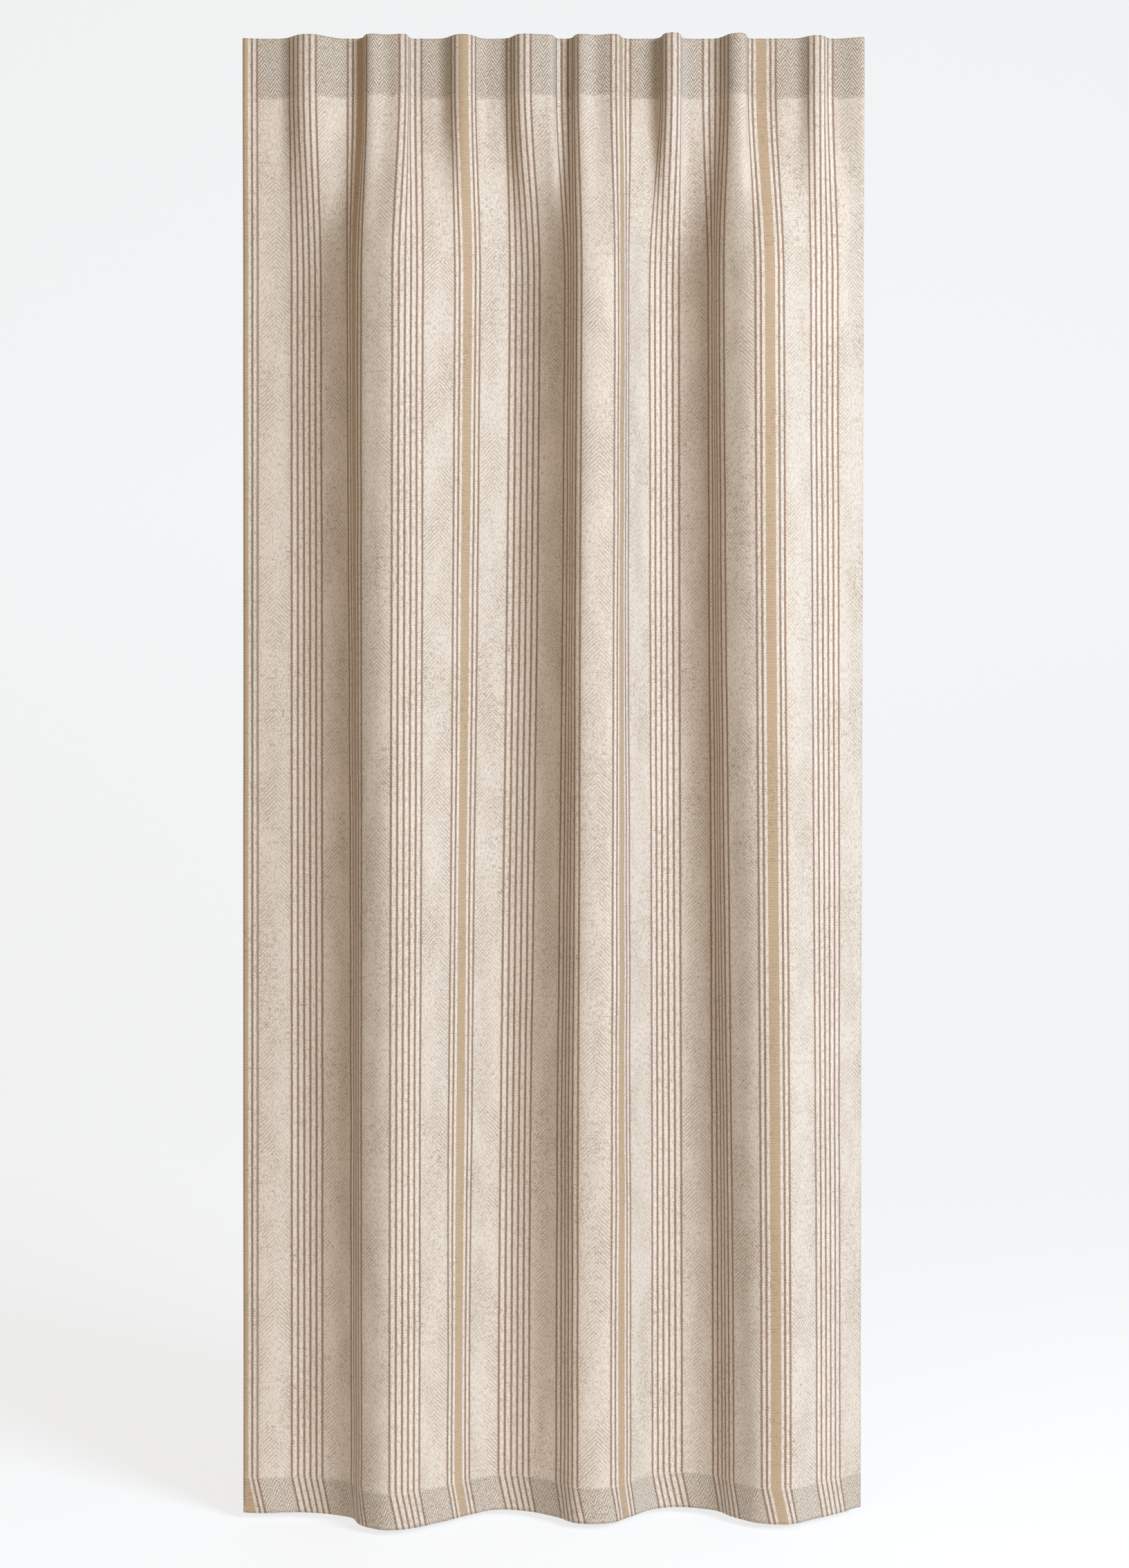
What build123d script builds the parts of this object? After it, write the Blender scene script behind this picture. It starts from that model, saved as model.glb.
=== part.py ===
from build123d import *
import math
import os

# A curtain panel of one woven cloth that hangs on a plain round rod by nine hidden tabs.
# Millimetres. +X runs along the rod from the fixed end, +Y goes from the room to the
# window, +Z is up. The origin is on the rod's axis, in the middle of the first tab.

# driving dimensions
ROD_R = 14.0
HANG_ABOVE_ROD = 22.0
DROP = 2500.0
FLAT_WIDTH = 1280.0
HUNG_WIDTH = 1052.0

CLOTH_T = 0.8
TAPE_T = 1.0
LAYER_GAP = 0.3
THREAD_T = 0.35
THREAD_H = 0.8
THREAD_GAP = 0.15

HEADING_DEPTH = 105.0
TAPE_DEPTH = 100.0
TAPE_INSET = 2.0
TAPE_STITCH_INSET = 1.6
BOTTOM_HEM_DEPTH = 62.0
SIDE_HEM_DEPTH = 26.0
HEM_STITCH_INSET = 2.0

TAB_COUNT = 9
TAB_EDGE = 52.0
TAB_PITCH = (FLAT_WIDTH - 2 * TAB_EDGE) / (TAB_COUNT - 1)
TAB_WIDTH = 32.0
TAB_T = 1.0
TAB_SEAT_CLEARANCE = 0.1
TAB_FRONT_CLEARANCE = 0.2
TAB_TO_TAPE = 0.5
TAB_SEWN = 8.0
TAB_TOP_BEND_R = 1.5
TAB_LOW_BEND_R = 6.0
TAB_UNDER_ANGLE = 34.0
TACK_WIDTH = 26.0
TACK_H = 2.4
TACK_T = 0.5
TACK_ABOVE_END = 2.5

LABEL_WIDTH = 30.0
LABEL_DROP = 45.0
LABEL_T = 0.3
LABEL_ABOVE_HEM = 90.0

# where the tape's back lies at the tabs: in front of the rod, the tab and their clearances
TAPE_BACK_Y = -(ROD_R + TAB_FRONT_CLEARANCE + TAB_TO_TAPE)

TOP_Z = HANG_ABOVE_ROD
BOTTOM_Z = TOP_Z - DROP

TAPE_TOP = TOP_Z - TAPE_INSET
TAPE_LOW = TAPE_TOP - TAPE_DEPTH
HEADING_LOW = TOP_Z - HEADING_DEPTH
HEM_TOP = BOTTOM_Z + BOTTOM_HEM_DEPTH
TAPE_TOP_ROW = TAPE_TOP - TAPE_STITCH_INSET - THREAD_H
TAPE_LOW_ROW = TAPE_LOW + TAPE_STITCH_INSET
HEM_ROW = HEM_TOP - HEM_STITCH_INSET - THREAD_H
SIDE_ROW_LOW = HEM_TOP + HEM_STITCH_INSET
SIDE_ROW_TOP = HEADING_LOW - HEM_STITCH_INSET
LABEL_LOW = HEM_TOP + LABEL_ABOVE_HEM

# the levels at which a piece starts or ends
EDGE_LEVELS = [
    *(TOP_Z, TAPE_TOP, TAPE_LOW, HEADING_LOW, HEM_TOP, BOTTOM_Z),
    *(SIDE_ROW_LOW, SIDE_ROW_TOP, LABEL_LOW, LABEL_LOW + LABEL_DROP),
    *(level for row in (TAPE_TOP_ROW, TAPE_LOW_ROW, HEM_ROW) for level in (row, row + THREAD_H)),
]

# how far each layer lies behind the front face of the cloth
SIDE_HEM_AT = CLOTH_T + LAYER_GAP
TURNOVER_AT = SIDE_HEM_AT + CLOTH_T + LAYER_GAP
TAPE_AT = TURNOVER_AT + CLOTH_T + LAYER_GAP
FRONT_Y = TAPE_BACK_Y - TAPE_AT - TAPE_T

# the heading's folds: place across the flat cloth, and how far forward of the tabs it is
HEADING_FOLDS = [
    *((0, 4), (26, 0), (60, 0), (120, 26), (194, 0), (206, 0), (254, 29), (278, 24)),
    *((304, 28), (344, 0), (380, 0), (434, 26), (488, 0), (510, 1), (560, 28), (600, 24)),
    *((638, 0), (644, 0), (688, 27), (712, 21), (742, 27), (786, 0), (822, 0), (880, 36)),
    *((932, 0), (966, 0), (1030, 34), (1078, 0), (1146, 2), (1190, 20), (1228, 0), (1280, 9)),
]
STEEPEST_SINE = 0.97

# the drop's folds: place across the flat cloth, reach, and steepest angle at mid height
# and at the floor. A positive angle comes towards the room, a negative one goes back.
DROP_FLANKS = [
    (15, 40, 0, 5),
    (60, 30, 2, -7),
    (110, 34, 12, 4),
    (162, 34, 31, 18),
    (217, 30, 59, 65),
    (272, 32, 23, 28),
    (330, 34, -22, -21),
    (380, 34, -21, -31),
    (435, 34, -28, -36),
    (490, 34, -34, -30),
    (545, 34, 15, 13),
    (598, 30, 43, 30),
    (654, 30, 68, 49),
    (705, 28, -8, -2),
    (762, 30, -65, -42),
    (817, 34, -51, -45),
    (870, 30, -13, -13),
    (925, 30, 29, 15),
    (980, 30, 73, 51),
    (1035, 34, 25, 36),
    (1090, 34, -10, 6),
    (1143, 34, -35, -34),
    (1196, 34, -18, -25),
    (1252, 36, -30, -41),
]
STEEPEST_ANGLE = 84.0

# below the tabs, the waves of the heading turn into the folds of the drop between these heights
FOLDS_START_Z = -56.0
FOLDS_FULL_Z = -400.0
DROP_LEAN_Y = 6.0

SECTION_Z = [
    *(-20, -40, -60, -100, -120, -145, -170, -195, -220, -245, -270, -300, -330, -360, -400),
    *(-525, -650, -825, -1000, -1175, -1350, -1525, -1700, -1875, -2050, -2200, -2300),
]
LEVEL_TOLERANCE = 0.01
# the narrow side hems have more sections, because they twist a lot for their width
HEM_SECTION_Z = [*range(-110, -330, -10), *range(-445, -2400, -60)]
STEP = 2.0
NODE_PITCH = 8.0
FEWEST_SPANS = 2
PANEL_COLUMN = 64.0
HEM_COLUMN = 6.5
GAIN_LOW = 0.6
GAIN_HIGH = 1.8
GAIN_ROUNDS = 18


def tab_place(number):
    """Place of a tab's middle across the flat cloth, counted from 0."""
    return TAB_EDGE + number * TAB_PITCH


def smooth(value):
    """Smooth step from 0 to 1."""
    value = min(1.0, max(0.0, value))
    return value * value * (3 - 2 * value)


def heading_angle(place):
    """Angle of the cloth at the heading, in degrees, towards the room where positive."""
    for (start, start_depth), (end, end_depth) in zip(HEADING_FOLDS, HEADING_FOLDS[1:]):
        if start <= place <= end:
            rise = (end_depth - start_depth) * math.pi / 2 / (end - start)
            sine = rise * math.sin(math.pi * (place - start) / (end - start))
            sine = min(STEEPEST_SINE, max(-STEEPEST_SINE, sine))
            return math.degrees(math.asin(sine))
    return 0.0


def drop_angle(place, low):
    """Angle of the cloth in the drop, in degrees; low is 0 at the heading, 1 at the floor."""
    total = 0.0
    for centre, reach, middle, floor in DROP_FLANKS:
        steepest = middle + (floor - middle) * low
        total += steepest * math.exp(-(((place - centre) / reach) ** 2))
    return total


def stronger(angles, gain):
    """The folds' angles made stronger or weaker, and none past the steepest."""
    most = math.radians(STEEPEST_ANGLE)
    return [min(most, max(-most, gain * angle)) for angle in angles]


def hung_width(angles, gain):
    return sum(math.cos(angle) * STEP for angle in stronger(angles, gain))


def fold_gain(angles):
    """The folds' strength at which the cloth hangs HUNG_WIDTH wide."""
    low, high = GAIN_LOW, GAIN_HIGH
    for _ in range(GAIN_ROUNDS):
        middle = (low + high) / 2
        if hung_width(angles, middle) > HUNG_WIDTH:
            low = middle
        else:
            high = middle
    return (low + high) / 2


def folded(degrees):
    """Points at each step across cloth with the given folds, from the first tab's place."""
    angles = [math.radians(angle) for angle in degrees]
    points = [(0.0, 0.0)]
    for angle in stronger(angles, fold_gain(angles)):
        x, y = points[-1]
        points.append((x + math.cos(angle) * STEP, y - math.sin(angle) * STEP))
    tab_x, tab_y = points[round(TAB_EDGE / STEP)]
    return [(x - tab_x, y - tab_y) for x, y in points]


def between(values, place):
    """A value part of the way between two neighbours in a list."""
    place = min(len(values) - 1.0, max(0.0, place))
    index = min(len(values) - 2, int(place))
    part = place - index
    return values[index] * (1 - part) + values[index + 1] * part


def heading_line():
    """The cloth's front face at the heading, where every tab's place lies against its tab."""
    points = folded([heading_angle(place) for place in STEP_MIDDLES])
    tabs_y = [points[round(tab_place(number) / STEP)][1] for number in range(TAB_COUNT)]
    line = []
    for number, (x, y) in enumerate(points):
        pull = between(tabs_y, (number * STEP - TAB_EDGE) / TAB_PITCH)
        line.append((x, y + FRONT_Y - pull))
    return line


STEP_MIDDLES = [(number + 0.5) * STEP for number in range(round(FLAT_WIDTH / STEP))]
HEADING_LINE = heading_line()
LINES = {}


def cloth_line(z):
    """The cloth's front face at a height: its points and angles at each step across it."""
    share = smooth((FOLDS_START_Z - z) / (FOLDS_START_Z - FOLDS_FULL_Z))
    low = smooth((TOP_Z - z) / DROP)
    drop = folded([drop_angle(place, low) for place in STEP_MIDDLES])
    line = []
    for (heading_x, heading_y), (x, y) in zip(HEADING_LINE, drop):
        y += FRONT_Y + DROP_LEAN_Y
        line.append((heading_x + (x - heading_x) * share, heading_y + (y - heading_y) * share))
    angles = [math.atan2(y0 - y1, x1 - x0) for (x0, y0), (x1, y1) in zip(line, line[1:])]
    return line, angles


def cloth_point(place, z, behind):
    """A point at a place across the cloth, at a height, some way behind its front face."""
    if z not in LINES:
        LINES[z] = cloth_line(z)
    points, angles = LINES[z]
    x = between([point[0] for point in points], place / STEP)
    y = between([point[1] for point in points], place / STEP)
    angle = between(angles, place / STEP - 0.5)
    return Vector(x + math.sin(angle) * behind, y + math.cos(angle) * behind, z)


def levels_between(low, high, extra=()):
    """The section heights from one level to another."""
    low, high = low - LEVEL_TOLERANCE, high + LEVEL_TOLERANCE
    return [z for z in sorted({*SECTION_Z, *EDGE_LEVELS, *extra}) if low < z < high]


def spread(start, end, pitch, fewest=1):
    """Evenly spread values from start to end, at most pitch apart."""
    count = max(fewest, math.ceil(abs(end - start) / pitch))
    return [start + (end - start) * number / count for number in range(count + 1)]


def curve(start, end, z, behind):
    """A smooth curve along the cloth at a height."""
    places = spread(start, end, NODE_PITCH, FEWEST_SPANS)
    points = [cloth_point(place, z, behind) for place in places]
    angles = LINES[z][1]
    tangents = []
    for place in (start, end):
        angle = between(angles, place / STEP - 0.5)
        tangents.append(Vector(math.cos(angle), -math.sin(angle), 0) * (end - start))
    shares = [number / (len(places) - 1) for number in range(len(places))]
    return Edge.make_spline(points, tangents=tangents, parameters=shares, scale=False)


def section(bounds, z, behind, thickness):
    """The closed outline of a strip of cloth at a height, with its faces' bounds across it."""
    columns = list(zip(bounds, bounds[1:]))
    front = [curve(start, end, z, behind) for start, end in columns]
    back = [curve(end, start, z, behind + thickness) for start, end in reversed(columns)]
    right = Edge.make_line(front[-1] @ 1, back[0] @ 0)
    left = Edge.make_line(back[-1] @ 1, front[0] @ 0)
    return [*front, right, *back, left]


def strip(bounds, low, high, behind, thickness, extra=()):
    """A closed strip of cloth that follows the folds, between two places and heights."""
    levels = levels_between(low, high, extra)
    sections = [section(bounds, z, behind, thickness) for z in levels]
    faces = [Face(Wire(sections[0])), Face(Wire(sections[-1]))]
    for lower, upper in zip(sections, sections[1:]):
        faces += [Face.make_surface_from_curves(*pair) for pair in zip(lower, upper)]
    return Solid(Shell(faces))


def stitching(bounds, low, high, back_at):
    """A row of stitching: one thread in front of the cloth and one behind its last layer."""
    front = strip(bounds, low, high, -THREAD_T - THREAD_GAP, THREAD_T)
    back = strip(bounds, low, high, back_at + THREAD_GAP, THREAD_T)
    return Compound([front, back])


# the hidden tab's middle line: its front legs, its round part, and where its low leg starts
TAB_FRONT_Y = -ROD_R - TAB_FRONT_CLEARANCE + TAB_T / 2
TAB_RING_R = ROD_R + TAB_SEAT_CLEARANCE + TAB_T / 2
TAB_UNDER = math.radians(TAB_UNDER_ANGLE)
TAB_LEAVE_Y = TAB_RING_R * math.cos(TAB_UNDER)
TAB_LEAVE_Z = -TAB_RING_R * math.sin(TAB_UNDER)
TAB_MEET_Z = TAB_LEAVE_Z - (TAB_LEAVE_Y - TAB_FRONT_Y) / math.tan(TAB_UNDER)
TAB_UPPER_END_Z = TAB_RING_R - TAB_SEWN
TAB_LOWER_END_Z = TAB_MEET_Z - TAB_SEWN


def tab_path():
    """The middle line of a hidden tab, from its upper sewn end round the rod to its lower one."""
    upper_end = Vector(0, TAB_FRONT_Y, TAB_UPPER_END_Z)
    corner = Vector(0, TAB_FRONT_Y, TAB_RING_R)
    over = Vector(0, 0, TAB_RING_R)
    back = Vector(0, TAB_RING_R, 0)
    leave = Vector(0, TAB_LEAVE_Y, TAB_LEAVE_Z)
    meet = Vector(0, TAB_FRONT_Y, TAB_MEET_Z)
    lower_end = Vector(0, TAB_FRONT_Y, TAB_LOWER_END_Z)
    upper = FilletPolyline(upper_end, corner, over, radius=TAB_TOP_BEND_R)
    wrap = ThreePointArc(over, back, leave)
    lower = FilletPolyline(leave, meet, lower_end, radius=TAB_LOW_BEND_R)
    return Wire(upper.edges() + [wrap.edge()] + lower.edges())


def hidden_tab(x):
    """One hidden tab: a flat strip sewn to the tape above and below the rod."""
    side = Plane(origin=(0, TAB_FRONT_Y, TAB_UPPER_END_Z), z_dir=(0, 0, 1), x_dir=(1, 0, 0))
    profile = side * Rectangle(TAB_WIDTH, TAB_T)
    return Pos(x, 0, 0) * sweep(profile, path=tab_path())


def bar_tacks(x):
    """The two dense stitch bars that hold a tab's ends."""
    y = TAB_FRONT_Y + TAB_T / 2 + TACK_T / 2
    bar = Box(TACK_WIDTH, TACK_T, TACK_H)
    upper = Pos(x, y, TAB_UPPER_END_Z + TACK_ABOVE_END) * bar
    lower = Pos(x, y, TAB_LOWER_END_Z + TACK_ABOVE_END) * bar
    return Compound([upper, lower])


def care_label():
    """A small blank label caught in the back of the left side hem, above the bottom hem."""
    start = SIDE_HEM_DEPTH / 2
    behind = TURNOVER_AT + THREAD_T + THREAD_GAP
    bounds = (start, start + LABEL_WIDTH)
    return strip(bounds, LABEL_LOW, LABEL_LOW + LABEL_DROP, behind, LABEL_T)


def write(shape, name):
    export_step(shape, f"parts/{name}.step")
    print(name, round(shape.volume, 1), shape.bounding_box())


def main():
    os.makedirs("parts", exist_ok=True)
    full = spread(0.0, FLAT_WIDTH, PANEL_COLUMN)
    right = FLAT_WIDTH - SIDE_HEM_DEPTH
    left_bounds = spread(0.0, SIDE_HEM_DEPTH, HEM_COLUMN)
    right_bounds = spread(right, FLAT_WIDTH, HEM_COLUMN)
    write(strip(full, BOTTOM_Z, TOP_Z, 0.0, CLOTH_T), "face_panel")
    hem = (BOTTOM_Z, TOP_Z, SIDE_HEM_AT, CLOTH_T, HEM_SECTION_Z)
    write(strip(left_bounds, *hem), "left_side_hem")
    write(strip(right_bounds, *hem), "right_side_hem")
    write(strip(full, HEADING_LOW, TOP_Z, TURNOVER_AT, CLOTH_T), "heading_turnover")
    write(strip(full, BOTTOM_Z, HEM_TOP, TURNOVER_AT, CLOTH_T), "bottom_hem")
    write(strip(full, TAPE_LOW, TAPE_TOP, TAPE_AT, TAPE_T), "heading_tape")

    across = [HEM_STITCH_INSET, *full[1:-1], FLAT_WIDTH - HEM_STITCH_INSET]
    tape_back = TAPE_AT + TAPE_T
    hem_back = TURNOVER_AT + CLOTH_T
    side_back = SIDE_HEM_AT + CLOTH_T
    top_row = (TAPE_TOP_ROW, TAPE_TOP_ROW + THREAD_H)
    write(stitching(across, *top_row, tape_back), "tape_top_stitching")
    low_row = (TAPE_LOW_ROW, TAPE_LOW_ROW + THREAD_H)
    write(stitching(across, *low_row, tape_back), "tape_lower_stitching")
    write(stitching(across, HEM_ROW, HEM_ROW + THREAD_H, hem_back), "bottom_hem_stitching")
    side_row = (SIDE_ROW_LOW, SIDE_ROW_TOP)
    left_end = SIDE_HEM_DEPTH - HEM_STITCH_INSET
    left_row = (left_end - THREAD_H, left_end)
    write(stitching(left_row, *side_row, side_back), "left_hem_stitching")
    right_start = right + HEM_STITCH_INSET
    right_row = (right_start, right_start + THREAD_H)
    write(stitching(right_row, *side_row, side_back), "right_hem_stitching")
    write(care_label(), "care_label")

    for number in range(TAB_COUNT):
        x = cloth_point(tab_place(number), TOP_Z, 0.0).X
        print("tab", number + 1, "x", round(x, 2))
        write(hidden_tab(x), f"hidden_tab_{number + 1}")
        write(bar_tacks(x), f"tab_{number + 1}_bar_tacks")


main()
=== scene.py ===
import math

import bpy
import numpy as np
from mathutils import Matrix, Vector


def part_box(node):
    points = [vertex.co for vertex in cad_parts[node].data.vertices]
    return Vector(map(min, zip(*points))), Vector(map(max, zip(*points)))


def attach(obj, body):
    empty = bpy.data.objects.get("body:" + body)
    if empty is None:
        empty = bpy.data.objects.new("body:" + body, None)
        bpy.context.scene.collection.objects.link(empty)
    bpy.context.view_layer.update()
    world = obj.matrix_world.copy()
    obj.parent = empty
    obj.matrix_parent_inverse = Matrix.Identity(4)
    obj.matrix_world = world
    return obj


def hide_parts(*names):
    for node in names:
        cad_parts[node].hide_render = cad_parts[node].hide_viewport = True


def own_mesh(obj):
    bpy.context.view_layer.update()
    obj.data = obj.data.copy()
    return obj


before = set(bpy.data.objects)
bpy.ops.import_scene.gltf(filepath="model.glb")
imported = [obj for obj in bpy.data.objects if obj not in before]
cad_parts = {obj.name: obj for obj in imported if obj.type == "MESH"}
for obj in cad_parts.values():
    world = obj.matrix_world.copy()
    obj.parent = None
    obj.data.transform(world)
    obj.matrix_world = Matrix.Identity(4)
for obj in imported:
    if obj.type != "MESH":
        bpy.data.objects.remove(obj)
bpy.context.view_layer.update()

# ---------------------------------------------------------------- sizes, in metres
MM = 0.001
panel_low, panel_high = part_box("face_panel")
TOP = panel_high.z
BOTTOM = panel_low.z
DROP = TOP - BOTTOM
TAB_COUNT = len([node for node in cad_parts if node.startswith("hidden_tab_")])

FLAT_WIDTH = 1280 * MM
HUNG_WIDTH = 1052 * MM
CLOTH_T = 0.8 * MM
TAPE_T = 1.0 * MM
LAYER_GAP = 0.3 * MM
HEADING_DEPTH = 105 * MM
TAPE_DEPTH = 100 * MM
TAPE_INSET = 2 * MM
TAPE_STITCH_INSET = 2 * MM
BOTTOM_HEM_DEPTH = 62 * MM
SIDE_HEM_DEPTH = 26 * MM
HEM_STITCH_INSET = 2.4 * MM
ROD_R = 14 * MM
TAB_EDGE = 52 * MM
TAB_PITCH = (FLAT_WIDTH - 2 * TAB_EDGE) / (TAB_COUNT - 1)
ROD_TO_TAPE = 0.7 * MM
TAPE_BACK_Y = -(ROD_R + ROD_TO_TAPE)

SIDE_HEM_AT = CLOTH_T + LAYER_GAP
TURNOVER_AT = SIDE_HEM_AT + CLOTH_T + LAYER_GAP
TAPE_AT = TURNOVER_AT + CLOTH_T + LAYER_GAP
FRONT_Y = TAPE_BACK_Y - TAPE_AT - TAPE_T

HEADING_LOW = TOP - HEADING_DEPTH
HEM_TOP = BOTTOM + BOTTOM_HEM_DEPTH
TAPE_TOP = TOP - TAPE_INSET
TAPE_LOW = TAPE_TOP - TAPE_DEPTH

# ------------------------------------------- how the cloth hangs, as in the CAD model
# the heading's folds in millimetres: place across the flat cloth, and how far forward
# of the tabs it is there
HEADING_FOLDS = [
    *((0, 4), (26, 0), (60, 0), (120, 26), (194, 0), (206, 0), (254, 29), (278, 24)),
    *((304, 28), (344, 0), (380, 0), (434, 26), (488, 0), (510, 1), (560, 28), (600, 24)),
    *((638, 0), (644, 0), (688, 27), (712, 21), (742, 27), (786, 0), (822, 0), (880, 36)),
    *((932, 0), (966, 0), (1030, 34), (1078, 0), (1146, 2), (1190, 20), (1228, 0), (1280, 9)),
]
STEEPEST_SINE = 0.97

# the drop's folds: place across the flat cloth and reach in millimetres, then the
# steepest angle at the top and at the floor, towards the room where positive
DROP_FLANKS = [
    (15, 40, 0, 5),
    (60, 30, 2, -7),
    (110, 34, 12, 4),
    (162, 34, 31, 18),
    (217, 30, 59, 65),
    (272, 32, 23, 28),
    (330, 34, -22, -21),
    (380, 34, -21, -31),
    (435, 34, -28, -36),
    (490, 34, -34, -30),
    (545, 34, 15, 13),
    (598, 30, 43, 30),
    (654, 30, 68, 49),
    (705, 28, -8, -2),
    (762, 30, -65, -42),
    (817, 34, -51, -45),
    (870, 30, -13, -13),
    (925, 30, 29, 15),
    (980, 30, 73, 51),
    (1035, 34, 25, 36),
    (1090, 34, -10, 6),
    (1143, 34, -35, -34),
    (1196, 34, -18, -25),
    (1252, 36, -30, -41),
]
STEEPEST_ANGLE = math.radians(84)
FOLDS_START = -56 * MM
FOLDS_FULL = -400 * MM
DROP_LEAN_Y = 6 * MM
STEP = 2 * MM
GAIN_RANGE = (0.6, 1.8)
GAIN_ROUNDS = 18

EDGES = np.arange(round(FLAT_WIDTH / STEP) + 1) * STEP
MIDDLES = EDGES[:-1] + STEP / 2
LINES = {}


def smooth(value):
    """Smooth step from 0 to 1."""
    value = np.clip(value, 0.0, 1.0)
    return value * value * (3 - 2 * value)


def heading_angles():
    """The cloth's angle at the heading, in degrees, at MIDDLES."""
    places, depths = np.array(HEADING_FOLDS, float).T * MM
    fold = np.clip(np.searchsorted(places, MIDDLES) - 1, 0, len(places) - 2)
    length = places[fold + 1] - places[fold]
    rise = (depths[fold + 1] - depths[fold]) * math.pi / 2 / length
    sines = rise * np.sin(math.pi * (MIDDLES - places[fold]) / length)
    return np.degrees(np.arcsin(np.clip(sines, -STEEPEST_SINE, STEEPEST_SINE)))


def drop_angles(low):
    """The cloth's angle in the drop, in degrees; low is 0 at the top and 1 at the floor."""
    total = np.zeros_like(MIDDLES)
    for centre, reach, at_top, at_floor in DROP_FLANKS:
        steepest = at_top + (at_floor - at_top) * low
        total += steepest * np.exp(-(((MIDDLES / MM - centre) / reach) ** 2))
    return total


def folded(degrees):
    """x and y at EDGES of cloth with the given folds, counted from the first tab's place."""
    angles = np.radians(degrees)
    narrow, wide = GAIN_RANGE
    for _ in range(GAIN_ROUNDS):
        gain = (narrow + wide) / 2
        stronger = np.clip(gain * angles, -STEEPEST_ANGLE, STEEPEST_ANGLE)
        if np.cos(stronger).sum() * STEP > HUNG_WIDTH:
            narrow = gain
        else:
            wide = gain
    x = np.concatenate([[0], np.cumsum(np.cos(stronger)) * STEP])
    y = np.concatenate([[0], -np.cumsum(np.sin(stronger)) * STEP])
    return x - np.interp(TAB_EDGE, EDGES, x), y - np.interp(TAB_EDGE, EDGES, y)


def heading_line():
    """The front face at the heading, where every tab's place lies against its tab."""
    x, y = folded(heading_angles())
    tabs = TAB_EDGE + TAB_PITCH * np.arange(TAB_COUNT)
    return x, y + FRONT_Y - np.interp(EDGES, tabs, np.interp(tabs, EDGES, y))


HEADING_X, HEADING_Y = heading_line()


def cloth_line(z):
    """The front face at a height: x and y at EDGES, and the angle at MIDDLES."""
    key = round(z, 6)
    if key not in LINES:
        share = smooth((FOLDS_START - z) / (FOLDS_START - FOLDS_FULL))
        drop_x, drop_y = folded(drop_angles(smooth((TOP - z) / DROP)))
        x = HEADING_X + (drop_x - HEADING_X) * share
        y = HEADING_Y + (drop_y + FRONT_Y + DROP_LEAN_Y - HEADING_Y) * share
        LINES[key] = (x, y, np.arctan2(-np.diff(y), np.diff(x)))
    return LINES[key]


LATTICE_SIZE = 64
# the wrinkles start here, below the tabs, and are at their full height this much lower
RIPPLE_START = -85 * MM
RIPPLE_FADE = 120 * MM
# wrinkles: height, size across and down the cloth, shift across and down, noise seed
WRINKLES = (
    (1.3 * MM, 34 * MM, 0.42, 0.0, 7.3, 11),
    (0.6 * MM, 70 * MM, 0.13, 3.1, 0.0, 12),
    (0.25 * MM, 12 * MM, 0.05, 0.0, 0.0, 13),
)


def lattice_noise(a, b, seed):
    """Smooth noise from -1 to 1 over a plane."""
    size = LATTICE_SIZE
    table = np.random.default_rng(seed).uniform(-1, 1, (size, size))
    a0, b0 = np.floor(a).astype(int), np.floor(b).astype(int)
    fa, fb = smooth(a - a0), smooth(b - b0)
    a0, b0, a1, b1 = a0 % size, b0 % size, (a0 + 1) % size, (b0 + 1) % size
    low = table[a0, b0] * (1 - fa) + table[a1, b0] * fa
    high = table[a0, b1] * (1 - fa) + table[a1, b1] * fa
    return low * (1 - fb) + high * fb


def ripple(places, z):
    """Small soft wrinkles of the cloth, none where it lies against the tabs."""
    total = 0.0
    for height, size_across, size_down, shift_across, shift_down, seed in WRINKLES:
        across, down = places / size_across + shift_across, z / size_down + shift_down
        total = total + height * lattice_noise(across, down, seed)
    return smooth((RIPPLE_START - z) / RIPPLE_FADE) * total


def cloth_points(places, z, behind):
    """Points at places across the cloth, at one height, some way behind its front face."""
    places = np.atleast_1d(np.asarray(places, float))
    x, y, angles = cloth_line(float(z))
    angle = np.interp(places, MIDDLES, angles)
    out = np.asarray(behind) + ripple(places, z)
    px = np.interp(places, EDGES, x) + np.sin(angle) * out
    py = np.interp(places, EDGES, y) + np.cos(angle) * out
    return np.column_stack([px, py, np.full(len(places), float(z))])


# ---------------------------------------------------------------- colour and nodes


def srgb(red, green, blue):
    """A colour given as 0 to 255 on a screen, as Blender's linear values."""
    parts = []
    for value in (red, green, blue):
        value /= 255
        low = value <= 0.04045
        parts.append(value / 12.92 if low else ((value + 0.055) / 1.055) ** 2.4)
    return (*parts, 1.0)


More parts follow.
